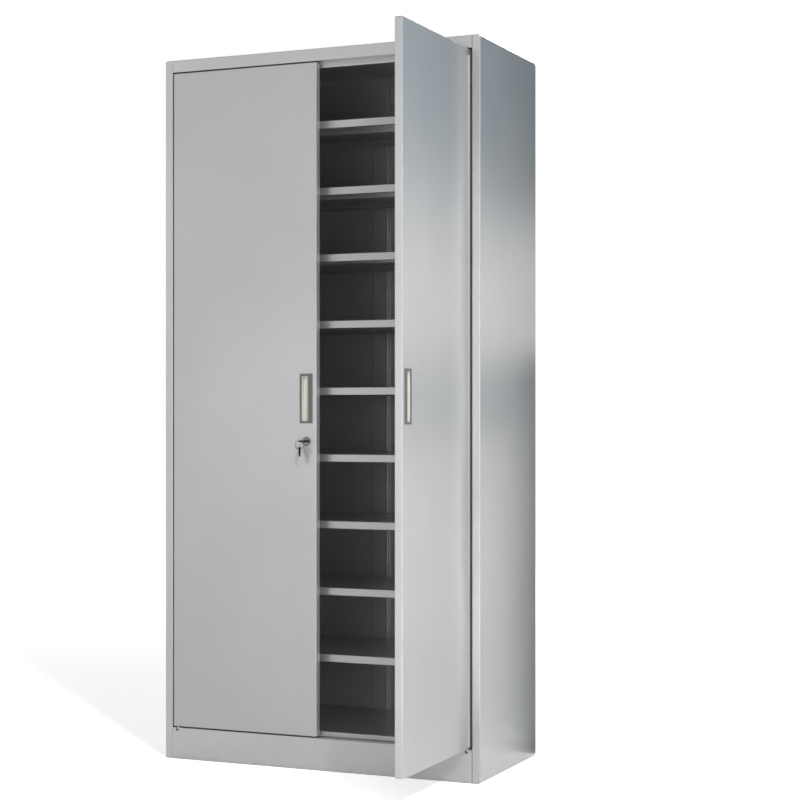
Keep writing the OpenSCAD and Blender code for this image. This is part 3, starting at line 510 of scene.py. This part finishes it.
def sheet_mesh(name, corners):
    mesh = bpy.data.meshes.new(name)
    mesh.from_pydata(corners, [], [tuple(range(len(corners)))])
    made = bpy.data.objects.new(name, mesh)
    scene.collection.objects.link(made)
    return made


def flat_sheet(name, z, spots):
    return sheet_mesh(name, [(x, y, z) for x, y in spots])


def upright_sheet(name, start, end, low, high):
    return sheet_mesh(name, [(*start, low), (*end, low), (*end, high), (*start, high)])


floor = flat_sheet("floor", 0.0, [(-FLOOR_HALF, -FLOOR_HALF), (FLOOR_HALF, -FLOOR_HALF),
                                  (FLOOR_HALF, FLOOR_HALF), (-FLOOR_HALF, FLOOR_HALF)])
floor.data.materials.append(floor_material("pale_floor"))


# ---------------------------------------------------------------- cards seen in reflections only
CARD_Y = 3.0
CARD_LEFT, CARD_RIGHT, CARD_TOP = 0.5, 3.5, 4.3
CARD_SIDES = ((0.55, 0.95), (3.4, 2.6))
CARD_WARM = (1.0, 0.985, 0.95, 1.0)
CARD_COOL = (0.62, 0.87, 1.04, 1.0)
LOWER_LIGHT = (1.40, 1.74, 0.77, 1.28)
LOWER_EXTRA = (1.64, 1.90, 0.0, 0.42)
UPPER_LIGHT = (1.46, 1.95, 0.0, 0.82)
UPPER_FADE = (4.2, 3.4, 0.6, 1.0)
HORIZON = (1.70, 2.10)
SLANT_X, SLANT = 1.95, 0.36
DIP = ((0.74, 0.93), (1.24, 0.98))
DIP_DEPTH, DIP_COOL = 0.57, 0.45

FLAG_COLOUR = (0.35, 0.75, 1.0, 1.0)
FLAG_LIGHT = 0.06
FLAG_GAP = ((1.00, 1.13), (1.62, 1.42))
FLAG_GAP_SHARE = 0.90
REAR_FLAG = ((0.440, 0.410), (0.815, 1.0114))
REAR_FLAG_TOP = 2.1
REAR_FLAG_FADE = (0.825, 0.455)
FLOOR_FLAG_Y, FLOOR_FLAG_Z = 0.60, 0.002
FLOOR_FLAG = ((0.455, 0.42), (0.58, 0.42), (0.67, FLOOR_FLAG_Y), (0.545, FLOOR_FLAG_Y))
FLOOR_FLAG_FADE = (0.660, 0.505)
FLOOR_FLAG_LEAN = 0.41

SEAM_COLOUR = (1.0, 0.99, 0.97, 1.0)
SEAM_LIGHT = 1.2
SEAM = ((0.4223, 0.001), (0.4277, 0.001))
SEAM_LOW, SEAM_HIGH = 0.09, 1.80


def veil(g, cover, colour, strength):
    """Glow that lets what is behind it show where the cover is below 1."""
    glow = g.node("ShaderNodeEmission", Color=colour, Strength=strength).outputs[0]
    clear = g.node("ShaderNodeBsdfTransparent").outputs[0]
    return g.show(g.blend(cover, clear, glow))


def card_material(name):
    """Dim and cool above, bright below, with a soft horizon and a dip at the pull's height."""
    g = material_graph(name)
    x, z = g.axis(0), g.axis(2)
    dip = g.band(z, *DIP)
    lower = g.plus(g.span(x, *LOWER_LIGHT, smooth=True), g.span(x, *LOWER_EXTRA))
    lower = g.times(lower, g.one_less(g.times(dip, DIP_DEPTH)))
    upper = g.span(x, *UPPER_LIGHT)
    slant = g.plus(z, g.times(g.math("SUBTRACT", SLANT_X, x), SLANT))
    top = g.times(g.span(slant, *HORIZON, smooth=True), g.span(z, *UPPER_FADE, smooth=True))
    value = g.plus(g.times(lower, g.one_less(top)), g.times(top, upper))
    sides = g.band(x, *CARD_SIDES)
    cool = g.plus(top, g.times(dip, DIP_COOL), clamp=True)
    return veil(g, sides, g.mix(cool, CARD_WARM, CARD_COOL), value)


def flag_material(name, fade, lean=0.0):
    """Dim flag behind the rear edge, that darkens the reflection at the back of the right side.

    Only its front counts, so that the back panel, which faces its rear, doesn't mirror it.
    Lean slants the soft border with Y, for the flag that lies on the floor.
    """
    g = material_graph(name)
    x = g.math("SUBTRACT", g.axis(0), g.times(g.math("SUBTRACT", g.axis(1), FLOOR_FLAG_Y), lean))
    gap = g.times(g.band(g.axis(2), *FLAG_GAP), FLAG_GAP_SHARE)
    dark = g.times(g.span(x, *fade, smooth=True), g.one_less(gap))
    facing = g.one_less(g.node("ShaderNodeNewGeometry").outputs["Backfacing"])
    return veil(g, g.times(dark, facing), FLAG_COLOUR, FLAG_LIGHT)


def reflection_only(card, material):
    card.data.materials.append(material)
    card.visible_camera = False
    card.visible_diffuse = False
    card.visible_transmission = False
    card.visible_shadow = False


reflection_only(
    upright_sheet("studio_card", (CARD_LEFT, CARD_Y), (CARD_RIGHT, CARD_Y), 0.0, CARD_TOP),
    card_material("studio_card"))
reflection_only(upright_sheet("rear_flag", *REAR_FLAG, 0.0, REAR_FLAG_TOP),
                flag_material("rear_flag", REAR_FLAG_FADE))
reflection_only(flat_sheet("floor_flag", FLOOR_FLAG_Z, FLOOR_FLAG),
                flag_material("floor_flag", FLOOR_FLAG_FADE, FLOOR_FLAG_LEAN))
# In the seam beside the open right door, whose glossy face would mirror the dark gap.
reflection_only(upright_sheet("seam_card", *SEAM, SEAM_LOW, SEAM_HIGH),
                veil(material_graph("seam_card"), 1.0, SEAM_COLOUR, SEAM_LIGHT))


# ---------------------------------------------------------------- world and lamps
WHITE = (grey(1.0), 1.0)
CEILING = ((0.94, 0.98, 1.0, 1.0), 0.34)
SKY = ((0.985, 0.995, 1.0, 1.0), 0.26)
OVERHEAD = (0.30, 0.75)


def studio_world(name):
    """White to the camera, a dim ceiling in mirrors, and a soft sky as light."""
    g = Graph(bpy.data.worlds.new(name), "ShaderNodeOutputWorld", "Generated")

    def background(colour, strength):
        return g.node("ShaderNodeBackground", Color=colour, Strength=strength).outputs[0]

    not_camera = g.one_less(g.node("ShaderNodeLightPath").outputs["Is Camera Ray"])
    overhead = g.times(g.span(g.axis(2), *OVERHEAD, smooth=True), not_camera)
    shown = g.blend(overhead, background(*WHITE), background(*CEILING))
    return g.show(g.blend(g.seen(), background(*SKY), shown))


scene.world = studio_world("studio")

# name, place, target, width and height, watts, whether it shows in reflections
LAMPS = [
    ("key_lamp", (3.3, -3.5, 3.4), (-0.05, 0.0, 0.85), (0.26, 0.26), 100.0, False),
    ("near_lamp", (0.80, -1.15, 0.85), (0.35, -0.20, 0.85), (0.30, 1.7), 7.0, True),
    ("low_lamp", (0.80, -1.15, 0.17), (0.40, -0.10, 0.10), (0.40, 0.30), 1.0, True),
    ("front_lamp", (0.5, -4.8, 0.95), (0.0, 0.0, 0.9), (2.4, 2.0), 22.0, True),
    ("left_lamp", (-1.84, -3.57, 0.95), (-0.2, 0.0, 0.95), (0.9, 0.9), 2.2, True),
    ("upper_lamp", (-2.85, -3.40, 2.10), (-0.3, 0.0, 1.40), (0.8, 1.5), 2.3, True),
    ("rear_lamp", (-1.6, 4.8, 3.2), (0.0, 0.4, 0.9), (2.6, 2.2), 110.0, True),
]
for name, place, target, size, watts, mirrored in LAMPS:
    data = bpy.data.lights.new(name, "AREA")
    data.shape = "RECTANGLE"
    data.size, data.size_y = size
    data.energy = watts
    lamp = bpy.data.objects.new(name, data)
    lamp.location = place
    aim = Vector(target) - Vector(place)
    lamp.rotation_euler = aim.to_track_quat("-Z", "Y").to_euler()
    lamp.visible_camera = False
    lamp.visible_glossy = mirrored
    scene.collection.objects.link(lamp)

scene.view_settings.view_transform = "Standard"
